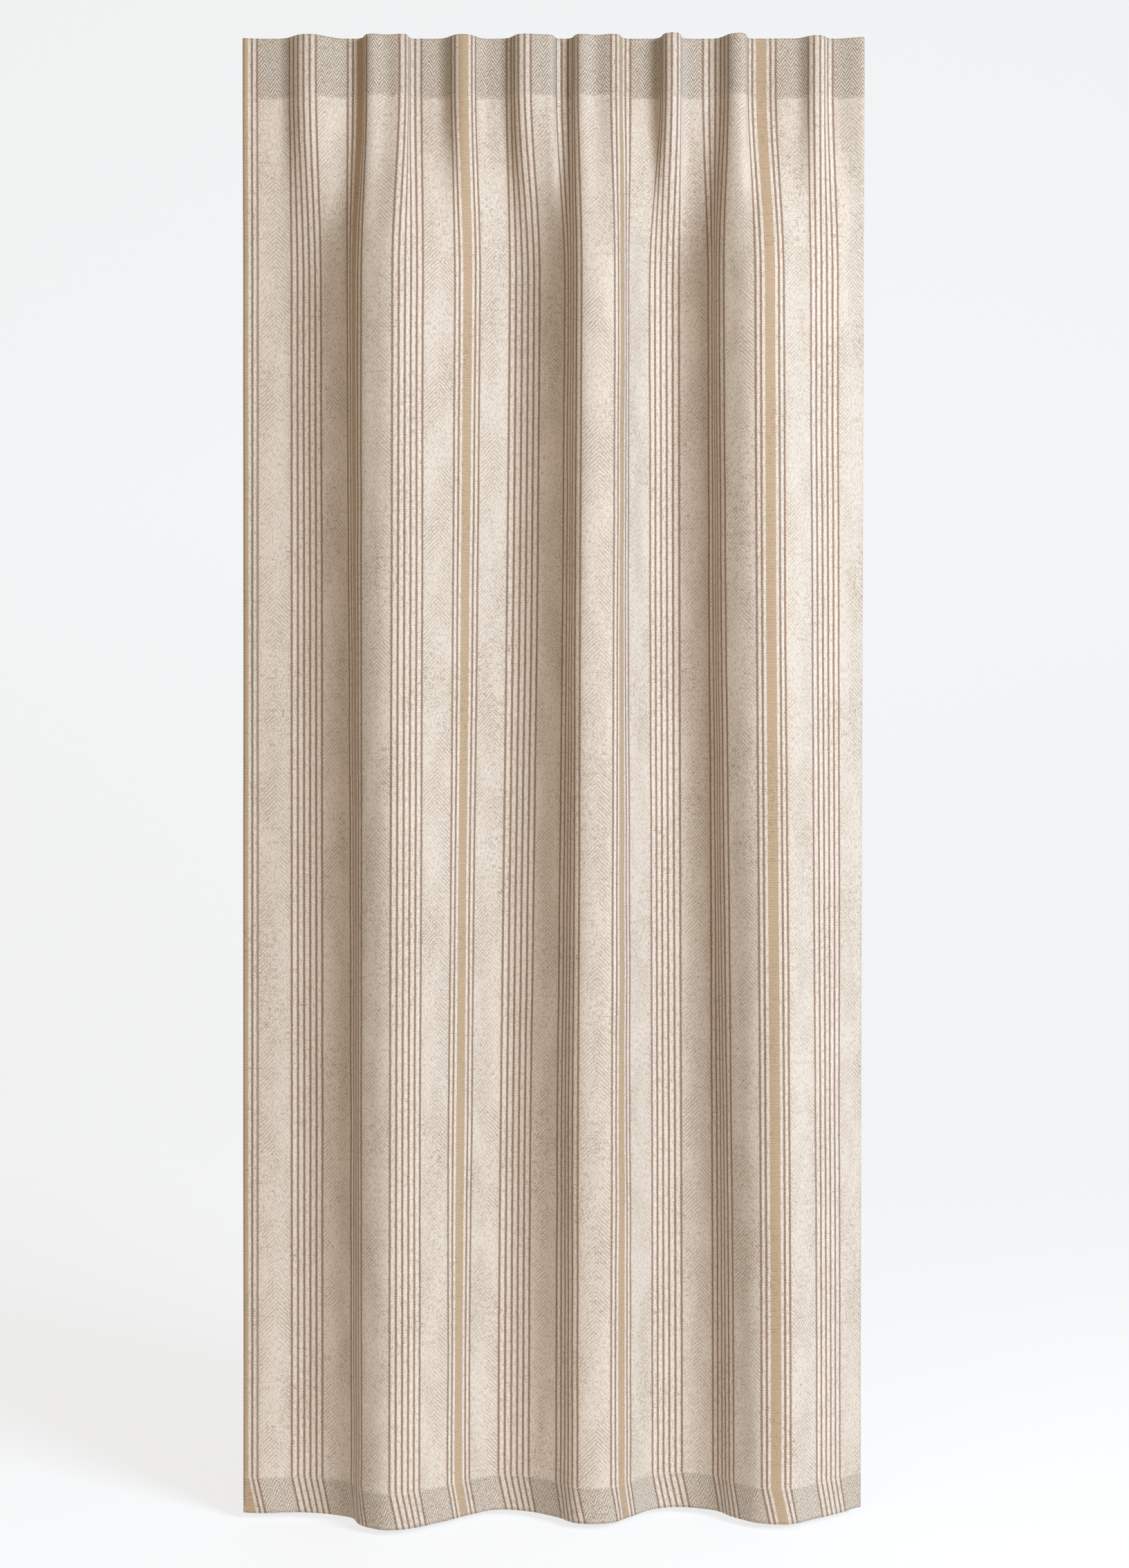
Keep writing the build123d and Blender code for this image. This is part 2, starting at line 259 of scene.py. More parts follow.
class Graph:
    """A material and short names for the nodes that it is made from."""

    def __init__(self, name, roughness, sheen=0.0):
        self.material = bpy.data.materials.new(name)
        self.material.use_nodes = True
        self.nodes = self.material.node_tree.nodes
        self.links = self.material.node_tree.links
        self.shader = self.nodes["Principled BSDF"]
        self.output = self.nodes["Material Output"]
        self.shader.inputs["Roughness"].default_value = roughness
        self.shader.inputs["Sheen Weight"].default_value = sheen
        self.shader.inputs["Sheen Roughness"].default_value = 0.5
        self.shader.inputs["Specular IOR Level"].default_value = 0.25

    def feed(self, value, socket):
        """Links a node's output to the socket, or sets the socket to a plain value."""
        if isinstance(value, bpy.types.NodeSocket):
            self.links.new(value, socket)
        else:
            socket.default_value = value

    def math(self, operation, *values):
        node = self.nodes.new("ShaderNodeMath")
        node.operation = operation
        for value, socket in zip(values, node.inputs):
            self.feed(value, socket)
        return node.outputs[0]

    def combine(self, operation, values):
        """One value from several, taken one after another."""
        total = values[0]
        for value in values[1:]:
            total = self.math(operation, total, value)
        return total

    def add(self, a, b):
        return self.math("ADD", a, b)

    def sub(self, a, b):
        return self.math("SUBTRACT", a, b)

    def mul(self, a, b):
        return self.math("MULTIPLY", a, b)

    def step(self, value, low, high):
        """0 below low and 1 above high, smooth between; low above high turns it round."""
        node = self.nodes.new("ShaderNodeMapRange")
        node.interpolation_type = "SMOOTHSTEP"
        flip = low > high
        self.feed(value, node.inputs["Value"])
        self.feed(high if flip else low, node.inputs["From Min"])
        self.feed(low if flip else high, node.inputs["From Max"])
        node.inputs["To Min"].default_value = 1.0 if flip else 0.0
        node.inputs["To Max"].default_value = 0.0 if flip else 1.0
        return node.outputs[0]

    def near(self, value, middle, half, soft):
        """1 within half of the middle, 0 further than half and soft away."""
        away = self.math("ABSOLUTE", self.sub(value, middle))
        return self.step(away, half + soft, half)

    def vector(self, x, y, z=0.0):
        node = self.nodes.new("ShaderNodeCombineXYZ")
        for value, socket in zip((x, y, z), node.inputs):
            self.feed(value, socket)
        return node.outputs[0]

    def texture(self, kind, place, per_metre):
        """A texture node over the flat cloth, with its features per metre across and down."""
        node = self.nodes.new(kind)
        scaled = [self.mul(value, scale) for value, scale in zip(place, per_metre)]
        self.feed(self.vector(*scaled), node.inputs["Vector"])
        node.inputs["Scale"].default_value = 1.0
        return node

    def noise(self, place, per_metre, detail=2.0, rough=0.5):
        node = self.texture("ShaderNodeTexNoise", place, per_metre)
        node.inputs["Detail"].default_value = detail
        node.inputs["Roughness"].default_value = rough
        return node.outputs[0]

    def spots(self, place, per_metre):
        """Distance from the nearest of many scattered points, and that point's own value."""
        node = self.texture("ShaderNodeTexVoronoi", place, per_metre)
        return node.outputs["Distance"], node.outputs["Color"]

    def mix(self, share, a, b, how="MIX"):
        node = self.nodes.new("ShaderNodeMix")
        node.data_type = "RGBA"
        node.blend_type = how
        self.feed(share, node.inputs["Factor"])
        self.feed(a, node.inputs["A"])
        self.feed(b, node.inputs["B"])
        return node.outputs["Result"]

    def map(self):
        """The flat cloth's own coordinates: metres across it and metres down it."""
        node = self.nodes.new("ShaderNodeUVMap")
        node.uv_map = "Cloth"
        split = self.nodes.new("ShaderNodeSeparateXYZ")
        self.links.new(node.outputs[0], split.inputs[0])
        return split.outputs[0], split.outputs[1]

    def wave(self, value, period):
        """A sine from 0 to 1 with the given period."""
        turn = self.mul(value, 2 * math.pi / period)
        return self.add(self.mul(self.math("SINE", turn), 0.5), 0.5)

    def bump(self, height, distance, strength=1.0):
        node = self.nodes.new("ShaderNodeBump")
        node.inputs["Strength"].default_value = strength
        node.inputs["Distance"].default_value = distance
        self.feed(height, node.inputs["Height"])
        self.links.new(node.outputs[0], self.shader.inputs["Normal"])

    def glow_through(self, colour, share):
        """Lets a share of the light that falls on the cloth's other side come through."""
        translucent = self.nodes.new("ShaderNodeBsdfTranslucent")
        self.feed(colour, translucent.inputs["Color"])
        blend = self.nodes.new("ShaderNodeMixShader")
        blend.inputs[0].default_value = share
        self.links.new(self.shader.outputs[0], blend.inputs[1])
        self.links.new(translucent.outputs[0], blend.inputs[2])
        self.links.new(blend.outputs[0], self.output.inputs["Surface"])


# ---------------------------------------------------------------- the striped cloth
# the stripe groups from left to right: T has a tan stripe with two thin lines each side,
# B has six thin lines; a herringbone band H lies between them
STRIPES = "THBHTHBHTHBHBHTHBHBHTHBH"
GROUP_WIDTHS = {"T": 54 * MM, "B": 54.6 * MM}
HERRINGBONE_WIDTH = 54.7 * MM
TAN_HALF = 8.8 * MM
TAN_LINES = (15.5 * MM, 24.4 * MM)
BROWN_LINES = (5.3 * MM, 16.0 * MM, 26.6 * MM)
TAN_SOFT = 0.6 * MM
LINE_HALF = 1.0 * MM
LINE_SOFT = 1.9 * MM
# a group ends this far outside its last line, and has faded out this much further on
GROUP_MARGIN = 1.6 * MM
GROUP_SOFT = 0.8 * MM

# the herringbone: the floats' spacing down the cloth, and the width and slope of a column
# in single cloth and in cloth that lies double
FLOAT_PERIOD = 7.1 * MM
BODY_COLUMNS = (HERRINGBONE_WIDTH / 2, 1.0)
DOUBLED_COLUMNS = (HERRINGBONE_WIDTH / 6, 1.5)
# an even number of columns, which keeps their count above zero all over the cloth
COLUMN_OFFSET = 100

# the stripes lean to the right below the hem line, this far across for each metre down
HEM_LEAN = 0.22
WARP_PERIOD = 1.25 * MM
WEFT_PERIOD = 1.4 * MM
RIB_PERIOD = 2.5 * MM
BEAD_PERIOD = 4.1 * MM
# light that comes through the cloth: its share, and how the cloth tints it
GLOW_SHARE = 0.24
GLOW_TINT = srgb(240, 190, 132)


def stripe_centres(kind):
    """Places of the middles of the stripe groups of one kind."""
    centres = []
    place = -GROUP_WIDTHS["T"] / 2
    for letter in STRIPES:
        width = GROUP_WIDTHS.get(letter, HERRINGBONE_WIDTH)
        if letter == kind:
            centres.append(place + width / 2)
        place += width
    return centres


def nearest(g, across, centres):
    """Distance from the nearest of the stripe middles."""
    away = [g.math("ABSOLUTE", g.sub(across, centre)) for centre in centres]
    return g.combine("MINIMUM", away)


def herringbone(g, across, down, columns):
    """Slanting floats that turn round at each column, from 0 to 1."""
    width, slope = columns
    first_band = stripe_centres("T")[0] + GROUP_WIDTHS["T"] / 2
    place = g.math("DIVIDE", g.sub(across, first_band), width)
    odd = g.math("MODULO", g.add(g.math("FLOOR", place), COLUMN_OFFSET), 2.0)
    mirrored = g.math("ABSOLUTE", g.sub(g.math("FRACT", place), odd))
    slant = g.mul(mirrored, width * slope)
    return g.wave(g.add(g.add(down, slant), g.mul(odd, FLOAT_PERIOD / 3)), FLOAT_PERIOD)


def cloth_material(name, doubled):
    """The woven cloth. doubled is 1 on turned-back cloth, or None to follow the hems."""
    g = Graph(name, roughness=0.92, sheen=0.2)
    across, down = g.map()
    below = g.math("MAXIMUM", g.sub(down, DROP - BOTTOM_HEM_DEPTH), 0.0)
    across = g.sub(across, g.mul(below, HEM_LEAN))
    place = (across, down)

    # the yarns wander a little to the side, and are uneven at three finer scales
    wander = g.noise(place, (120, 60), detail=3)
    across_yarn = g.add(across, g.mul(g.sub(wander, 0.5), 1.6 * MM))
    grain = g.noise(place, (330, 120), detail=3)
    yarn = g.noise(place, (700, 560), detail=2)
    speck = g.noise(place, (1250, 900), detail=1)

    tan_away = nearest(g, across_yarn, stripe_centres("T"))
    brown_away = nearest(g, across_yarn, stripe_centres("B"))
    tan = g.step(tan_away, TAN_HALF + TAN_SOFT, TAN_HALF - TAN_SOFT)
    lines, groups = [], []
    for away, line_places in ((tan_away, TAN_LINES), (brown_away, BROWN_LINES)):
        lines += [g.near(away, middle, LINE_HALF, LINE_SOFT) for middle in line_places]
        edge = line_places[-1] + GROUP_MARGIN
        groups.append(g.step(away, edge + GROUP_SOFT, edge))
    lines = g.combine("MAXIMUM", lines)
    grouped = g.combine("MAXIMUM", groups)

    # cloth that lies double at the heading and the hem looks denser and darker
    if doubled is None:
        heading = g.step(down, HEADING_DEPTH - 1 * MM, HEADING_DEPTH - 4 * MM)
        hem_line = DROP - BOTTOM_HEM_DEPTH
        hem = g.step(down, hem_line, hem_line + 3 * MM)
        doubled = g.math("MAXIMUM", heading, g.mul(hem, 0.9))

    # the herringbone is wide and faint in single cloth, and narrow and strong in doubled
    # cloth; it is patchy, and hardly there among the stripes
    uneven_down = g.add(down, g.mul(g.sub(wander, 0.5), 6.0 * MM))
    wide = herringbone(g, across, uneven_down, BODY_COLUMNS)
    narrow = herringbone(g, across, uneven_down, DOUBLED_COLUMNS)
    floats = g.add(g.mul(wide, g.sub(1.0, doubled)), g.mul(narrow, doubled))
    fleck = g.step(g.add(floats, g.mul(g.sub(yarn, 0.5), 2.2)), 0.20, 1.0)
    patchy = g.noise(place, (24, 9), detail=3)
    body_share = g.add(0.12, g.mul(g.step(patchy, 0.36, 0.66), 0.40))
    fleck_share = g.add(g.mul(body_share, g.sub(1.0, doubled)), g.mul(doubled, 0.74))
    fleck_share = g.mul(fleck_share, g.sub(1.0, g.mul(grouped, 0.80)))

    # a fine plain weave lies under everything, with darker and lighter yarns
    warp = g.wave(g.add(across_yarn, g.mul(grain, 0.8 * MM)), WARP_PERIOD)
    weft = g.wave(g.add(down, g.mul(grain, 1.2 * MM)), WEFT_PERIOD)
    weave = g.mul(g.math("MAXIMUM", warp, weft), g.add(0.55, g.mul(speck, 0.9)))
    cream = g.mix(weave, srgb(212, 204, 195), srgb(239, 234, 227))
    cream = g.mix(g.mul(g.sub(1.0, grouped), 0.4), cream, srgb(220, 212, 202))
    cream = g.mix(g.mul(g.step(grain, 0.48, 0.70), 0.5), cream, srgb(176, 161, 146))
    cream = g.mix(g.mul(g.step(speck, 0.48, 0.70), 0.46), cream, srgb(166, 148, 129))
    fleck_colour = g.mix(doubled, srgb(150, 129, 107), srgb(106, 80, 56))
    fleck = g.mul(fleck, g.add(0.62, g.mul(speck, 0.76)))
    colour = g.mix(g.mul(fleck, fleck_share), cream, fleck_colour)

    # the tan stripe has uneven ribs across it, with lighter weft showing here and there
    rib_noise = g.noise(place, (40, 120))
    ribs = g.wave(g.add(down, g.mul(rib_noise, 5 * MM)), RIB_PERIOD)
    tan_share = g.add(g.mul(ribs, 0.62), g.mul(g.sub(yarn, 0.3), 1.0))
    tan_colour = g.mix(tan_share, srgb(158, 132, 104), srgb(210, 189, 162))
    colour = g.mix(tan, colour, tan_colour)

    # the thin brown lines are beaded unevenly, because cream weft crosses them
    beads = g.wave(g.add(down, g.mul(grain, 9 * MM)), BEAD_PERIOD)
    line_share = g.mul(lines, g.add(0.36, g.add(g.mul(beads, 0.34), g.mul(yarn, 0.60))))
    colour = g.mix(line_share, colour, srgb(130, 95, 66))

    # slubs: a few thick weft yarns, and small dark nubs lying across and down
    slubs = g.step(g.noise(place, (16, 620), detail=1), 0.68, 0.77)
    colour = g.mix(g.mul(slubs, 0.42), colour, srgb(150, 128, 106))
    nubs = []
    for per_metre, rarity in (((58, 130), 0.74), ((150, 62), 0.82)):
        spot, which = g.spots(place, per_metre)
        nubs.append(g.mul(g.step(spot, 0.16, 0.06), g.step(which, rarity, rarity + 0.03)))
    nubs = g.combine("MAXIMUM", nubs)
    colour = g.mix(g.mul(nubs, 0.62), colour, srgb(98, 80, 66))

    # hairs: short thin dark yarns, across and down, that come in patches
    hairs = []
    for per_metre in ((85, 700), (800, 75)):
        hairs.append(g.step(g.noise(place, per_metre, detail=1), 0.59, 0.70))
    hair_patch = g.step(g.noise(place, (11, 5), detail=3), 0.42, 0.62)
    hairs = g.mul(g.combine("MAXIMUM", hairs), hair_patch)
    colour = g.mix(g.mul(hairs, 0.60), colour, srgb(128, 104, 80))

    # darker flecks a few millimetres across
    mottle = g.step(g.noise(place, (210, 170), detail=4, rough=0.7), 0.44, 0.70)
    colour = g.mix(g.mul(mottle, 0.38), colour, srgb(172, 152, 131))

    # the whole cloth is a little uneven, and a little darker where it lies double
    broad = g.noise(place, (5, 1.7), detail=4)
    colour = g.mix(g.mul(broad, 0.12), colour, srgb(212, 201, 188), how="MULTIPLY")
    colour = g.mix(g.mul(doubled, 0.10), colour, srgb(208, 197, 184), how="MULTIPLY")
    g.feed(colour, g.shader.inputs["Base Color"])

    # yarns, lines, slubs and nubs stand out a little, and the dark flecks lie deeper
    relief = g.add(g.mul(weave, 0.45), g.mul(fleck, g.mul(fleck_share, -0.8)))
    relief = g.add(relief, g.mul(ribs, g.mul(tan, 0.4)))
    relief = g.add(g.add(relief, g.mul(lines, 0.4)), g.mul(slubs, 0.8))
    g.bump(g.add(relief, g.add(nubs, g.mul(yarn, 0.6))), 0.4 * MM, 0.6)
    g.glow_through(g.mix(1.0, colour, GLOW_TINT, how="MULTIPLY"), GLOW_SHARE)
    return g.material


def webbing_material(name, light, dark, twill):
    """Woven tape or webbing: ribs across it, which lean as a twill where asked."""
    g = Graph(name, roughness=0.85, sheen=0.3)
    across, down = g.map()
    noise = g.noise((across, down), (300, 300), detail=3)
    lean = g.mul(across, 1.0 if twill else 0.0)
    ribs = g.wave(g.add(g.add(down, lean), g.mul(noise, 0.3 * MM)), 1.4 * MM)
    yarns = g.wave(across, 0.9 * MM)
    share = g.add(g.mul(ribs, 0.55), g.mul(yarns, 0.25))
    colour = g.mix(share, dark, light)
    colour = g.mix(g.mul(noise, 0.25), colour, srgb(214, 204, 188), how="MULTIPLY")
    g.feed(colour, g.shader.inputs["Base Color"])
    g.bump(g.add(ribs, g.mul(yarns, 0.6)), 0.3 * MM, 0.7)
    return g.material


def thread_material():
    """Twisted sewing thread."""
    g = Graph("sewing_thread", roughness=0.6, sheen=0.2)
    own_place = g.nodes.new("ShaderNodeTexCoord")
    split = g.nodes.new("ShaderNodeSeparateXYZ")
    g.links.new(own_place.outputs["Object"], split.inputs[0])
    twist = g.wave(g.add(split.outputs[0], g.mul(split.outputs[2], 0.8)), 0.5 * MM)
    colour = g.mix(twist, srgb(196, 184, 166), srgb(228, 219, 203))
    g.feed(colour, g.shader.inputs["Base Color"])
    g.bump(twist, 0.1 * MM, 0.5)
    return g.material


def label_material():
    """Plain blank satin."""
    g = Graph("label_satin", roughness=0.45, sheen=0.15)
    floats = g.noise(g.map(), (2400, 260), detail=2)
    colour = g.mix(floats, srgb(226, 223, 216), srgb(246, 244, 240))
    g.feed(colour, g.shader.inputs["Base Color"])
    g.bump(floats, 0.1 * MM, 0.4)
    return g.material


# ---------------------------------------------------------------- meshes


def grid_piece(name, rows, flat, material, thickness=0.0):
    """A sheet from rows of points, with its flat coordinates, as thick as asked."""
    rows, flat = np.asarray(rows, float), np.asarray(flat, float)
    high, wide = rows.shape[:2]
    index = np.arange(high * wide).reshape(high, wide)
    corners = [index[:-1, :-1], index[1:, :-1], index[1:, 1:], index[:-1, 1:]]
    faces = np.stack(corners, axis=-1).reshape(-1, 4)
    mesh = bpy.data.meshes.new(name)
    mesh.from_pydata(rows.reshape(-1, 3).tolist(), [], faces.tolist())
    layer = mesh.uv_layers.new(name="Cloth")
    layer.data.foreach_set("uv", flat.reshape(-1, 2)[faces.reshape(-1)].reshape(-1))
    mesh.polygons.foreach_set("use_smooth", np.ones(len(faces), bool))
    mesh.materials.append(material)
    piece = bpy.data.objects.new(name, mesh)
    bpy.context.scene.collection.objects.link(piece)
    if thickness:
        solid = piece.modifiers.new("thickness", "SOLIDIFY")
        solid.thickness = thickness
        solid.offset = 0.0
    return piece


def spread(*stretches):
    """Values through several stretches, each given as start, end and spacing."""
    values = []
    for start, end, pitch in stretches:
        count = max(1, round(abs(end - start) / pitch))
        values += list(np.linspace(start, end, count + 1)[(1 if values else 0):])
    return np.array(values)


def fold_over(start_at, end_at, count=7):
    """A half turn between two depths behind the front, as places outward and depths."""
    radius = abs(start_at - end_at) / 2
    middle = (start_at + end_at) / 2
    turn = np.linspace(0, np.pi, count)[1:]
    side = np.sign(start_at - end_at)
    return [(radius * math.sin(t), middle + side * radius * math.cos(t)) for t in turn]


# the cloth stops this far inside its side edges and its top and bottom edges, which
# leaves room for the round folds there
SIDE_ROOM = 0.8 * MM
FOLD_ROOM = 1.3 * MM
# spacing of the points down the cloth, where the rows are coarse from 600 mm below the
# top, and across it
FINE_ROWS = 5 * MM
MEDIUM_ROWS = 10 * MM
COARSE_ROWS = 20 * MM
COLUMNS = 4 * MM
COARSE_FROM = TOP - 600 * MM
ACROSS = spread((SIDE_ROOM, FLAT_WIDTH - SIDE_ROOM, COLUMNS))


def front_cloth(material):
    """The whole front of the curtain, in one sheet."""
    below_heading = TOP - 130 * MM
    above_hem = BOTTOM + 70 * MM
    levels = spread(
        (TOP - FOLD_ROOM, below_heading, FINE_ROWS),
        (below_heading, COARSE_FROM, MEDIUM_ROWS),
        (COARSE_FROM, above_hem, COARSE_ROWS),
        (above_hem, BOTTOM + FOLD_ROOM, FINE_ROWS),
    )
    rows = [cloth_points(ACROSS, z, CLOTH_T / 2) for z in levels]
    flat = [[(a, TOP - z) for a in ACROSS] for z in levels]
    return grid_piece("front_cloth", rows, flat, material, CLOTH_T)


def turned_edge(name, inner, outer, material):
    """Cloth turned to the back at the top or bottom, with the round fold at its edge."""
    way = np.sign(outer - inner)
    start = outer - way * FOLD_ROOM
    behind = TURNOVER_AT + CLOTH_T / 2
    profile = [(z, behind) for z in spread((inner, start, FINE_ROWS))]
    profile += [(start + way * rise, at) for rise, at in fold_over(behind, CLOTH_T / 2)]
    rows = [cloth_points(ACROSS, z, at) for z, at in profile]
    length = np.concatenate([[0], np.cumsum(np.hypot(*np.diff(np.array(profile), axis=0).T))])
    edge = TOP - outer
    down = edge + way * (length[-1] - length)
    flat = [[(a, d) for a in ACROSS] for d in down]
    return grid_piece(name, rows, flat, material, CLOTH_T)


def side_hem(name, inner, outer, material):
    """Cloth turned to the back at a side, with the round fold at its edge."""
    way = np.sign(outer - inner)
    start = outer - way * SIDE_ROOM
    behind = SIDE_HEM_AT + CLOTH_T / 2
    profile = [(place, behind) for place in spread((inner, start, COLUMNS))]
    profile += [(start + way * rise, at) for rise, at in fold_over(behind, CLOTH_T / 2, 5)]
    places, depths = np.array(profile).T
    levels = spread(
        (TOP - FOLD_ROOM, COARSE_FROM, MEDIUM_ROWS),
        (COARSE_FROM, BOTTOM + FOLD_ROOM, COARSE_ROWS),
    )
    rows = [cloth_points(places, z, depths) for z in levels]
    flat = [[(2 * outer - a, TOP - z) for a in places] for z in levels]
    return grid_piece(name, rows, flat, material, CLOTH_T)


TAPE_SIDE_ROOM = 1.5 * MM
TAPE_LINE_INSET = 6 * MM
TAPE_LINE_REACH = 2 * MM
TAPE_LINE_DEPTH = 0.35 * MM


def heading_tape(material):
    """The tape on the back of the heading, with a sunk line of weave along each edge."""
    levels = spread((TAPE_TOP, TAPE_LOW, 2.5 * MM))
    places = spread((TAPE_SIDE_ROOM, FLAT_WIDTH - TAPE_SIDE_ROOM, COLUMNS))
    rows = []
    for z in levels:
        edge = min(TAPE_TOP - z, z - TAPE_LOW)
        sunk = TAPE_LINE_DEPTH * math.exp(-(((edge - TAPE_LINE_INSET) / TAPE_LINE_REACH) ** 2))
        rows.append(cloth_points(places, z, TAPE_AT + TAPE_T / 2 - sunk))
    flat = [[(a, TAPE_TOP - z) for a in places] for z in levels]
    return grid_piece("heading_tape_woven", rows, flat, material, TAPE_T)


def join(name, pieces, material):
    """One object from several small closed meshes, given as points and faces."""
    points, faces, start = [], [], 0
    for some_points, some_faces in pieces:
        points.append(some_points)
        faces += [[start + i for i in face] for face in some_faces]
        start += len(some_points)
    mesh = bpy.data.meshes.new(name)
    mesh.from_pydata(np.concatenate(points).tolist(), [], faces)
    mesh.polygons.foreach_set("use_smooth", np.ones(len(faces), bool))
    mesh.materials.append(material)
    piece = bpy.data.objects.new(name, mesh)
    bpy.context.scene.collection.objects.link(piece)
    return piece


STITCH_SIDES = 6


def stitch(start, end, outward, radius, rings=5):
    """One stitch: a short rounded thread that dips into the cloth at both ends."""
    sides = STITCH_SIDES
    start, end, outward = np.array(start), np.array(end), np.array(outward)
    along = (end - start) / np.linalg.norm(end - start)
    across = np.cross(along, outward)
    points = []
    for ring in range(rings):
        part = ring / (rings - 1)
        # thinner and lower at both ends
        swell = math.sin(math.pi * (0.12 + 0.76 * part)) ** 0.6
        centre = start + (end - start) * part + outward * radius * (swell - 0.75)
        for side in range(sides):
            turn = 2 * math.pi * side / sides
            spoke = across * math.cos(turn) + outward * math.sin(turn)
            points.append(centre + spoke * radius * swell)
    faces = []
    for ring in range(rings - 1):
        for side in range(sides):
            a, b = ring * sides + side, ring * sides + (side + 1) % sides
            faces.append([a, b, b + sides, a + sides])
    faces.append(list(range(sides))[::-1])
    faces.append(list(range((rings - 1) * sides, rings * sides)))
    return np.array(points), faces


SIDE_ROW_GAP = 2 * MM
STITCH_LENGTH = 3.1 * MM
STITCH_PITCH = 3.7 * MM
THREAD_R = 0.3 * MM
THREAD_OUT = 0.1 * MM
ROW_INSET = 3 * MM


def stitch_across(depth, outward_sign, z):
    """A row of stitches across the cloth at one height and depth."""
    starts = np.arange(ROW_INSET, FLAT_WIDTH - ROW_INSET - STITCH_LENGTH, STITCH_PITCH)
    first = cloth_points(starts, z, depth)
    last = cloth_points(starts + STITCH_LENGTH, z, depth)
    angles = np.interp(starts + STITCH_LENGTH / 2, MIDDLES, cloth_line(z)[2])
    made = []
    for a, b, angle in zip(first, last, angles):
        outward = outward_sign * np.array([math.sin(angle), math.cos(angle), 0])
        made.append(stitch(a, b, outward, THREAD_R))
    return made


def stitch_down(depth, outward_sign, place, low, high):
    """A row of stitches down the cloth at one depth and one place across it."""
    made = []
    for z in np.arange(low, high - STITCH_LENGTH, STITCH_PITCH):
        middle = z + STITCH_LENGTH / 2
        angle = np.interp(place, MIDDLES, cloth_line(middle)[2])
        outward = outward_sign * np.array([math.sin(angle), math.cos(angle), 0])
        centre = cloth_points(place, middle, depth)[0]
        reach = np.array([0, 0, STITCH_LENGTH / 2])
        made.append(stitch(centre - reach, centre + reach, outward, THREAD_R))
    return made


def both_sides(name, row, where, back_at, material):
    """The same row of stitches on the front of the cloth and on its last layer."""
    made = row(-THREAD_OUT, -1, *where) + row(back_at + THREAD_OUT, 1, *where)
    return join(name, made, material)


# ---------------------------------------------------------------- the hidden tabs
TAB_WIDTH = 32 * MM
TAB_T = 1.0 * MM
TAB_SEWN = 8 * MM
TAB_UNDER = math.radians(34)
TAB_SEAT_CLEARANCE = 0.1 * MM
TAB_FRONT_CLEARANCE = 0.2 * MM
TAB_MIDDLE_R = ROD_R + TAB_SEAT_CLEARANCE + TAB_T / 2
TAB_END_Y = -ROD_R - TAB_FRONT_CLEARANCE + TAB_T / 2
TAB_TOP_BEND_R = 1.5 * MM
TAB_LOW_BEND_R = 6 * MM
TAB_PITCH_FINE = 1.6 * MM
TAB_PITCH_TOP = 2 * MM
WEBBING_T = TAB_T * 0.9
WEBBING_INSET = 0.4 * MM


def tab_line():
    """The tab's middle line from its upper sewn end round the rod to its lower one.

    The second value is the height where the line from under the rod meets the tape."""
    bend, low_bend = TAB_TOP_BEND_R, TAB_LOW_BEND_R
    top_end = (TAB_MIDDLE_R - TAB_SEWN, TAB_MIDDLE_R - bend, TAB_PITCH_FINE)
    points = [(TAB_END_Y, z) for z in spread(top_end)]
    for turn in np.linspace(0, math.pi / 2, 6)[1:]:
        over = TAB_END_Y + bend - bend * math.cos(turn)
        points.append((over, TAB_MIDDLE_R - bend + bend * math.sin(turn)))
    points += [(y, TAB_MIDDLE_R) for y in spread((TAB_END_Y + bend, 0, TAB_PITCH_TOP))[1:]]
    for turn in np.linspace(math.pi / 2, -TAB_UNDER, 26)[1:]:
        points.append((TAB_MIDDLE_R * math.cos(turn), TAB_MIDDLE_R * math.sin(turn)))
    leave_y, leave_z = points[-1]
    drop = (leave_y - TAB_END_Y) / math.sin(TAB_UNDER) * math.cos(TAB_UNDER)
    meet_z = leave_z - drop
    room = low_bend * math.tan(TAB_UNDER / 2)
    stop_y = TAB_END_Y + room * math.sin(TAB_UNDER)
    stop_z = meet_z + room * math.cos(TAB_UNDER)
    start, stop = np.array(points[-1]), np.array([stop_y, stop_z])
    points += [tuple(start + (stop - start) * part) for part in np.linspace(0, 1, 12)[1:]]
    for turn in np.linspace(TAB_UNDER, 0, 6)[1:]:
        y = TAB_END_Y + low_bend * (1 - math.cos(turn))
        points.append((y, meet_z - room + low_bend * math.sin(turn)))
    low_end = (meet_z - room, meet_z - TAB_SEWN, TAB_PITCH_FINE)
    points += [(TAB_END_Y, z) for z in spread(low_end)[1:]]
    return np.array(points), meet_z


def tab_middle_x(number):
    """The place along the rod of one tab's middle."""
    return (sum(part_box(f"hidden_tab_{number}"), Vector()) / 2).x


def hidden_tab(number, material):
    """One webbing tab."""
    tab_x = tab_middle_x(number)
    line, _ = tab_line()
    length = np.concatenate([[0], np.cumsum(np.hypot(*np.diff(line, axis=0).T))])
    half = TAB_WIDTH / 2 - WEBBING_INSET
    columns = spread((-half, half, TAB_PITCH_FINE))
    rows, flat = [], []
    for (y, z), way in zip(line, length):
        rows.append([(tab_x + c, y, z) for c in columns])
        flat.append([(c, way) for c in columns])
    return grid_piece(f"tab_webbing_{number}", rows, flat, material, WEBBING_T)


TACK_STITCHES = 34
TACK_WIDTH = 25 * MM
TACK_HALF_HEIGHT = 1.3 * MM
TACK_LEAN = 0.35 * MM
TACK_THREAD_R = 0.32 * MM
TACK_IN = TAB_SEWN * 0.6


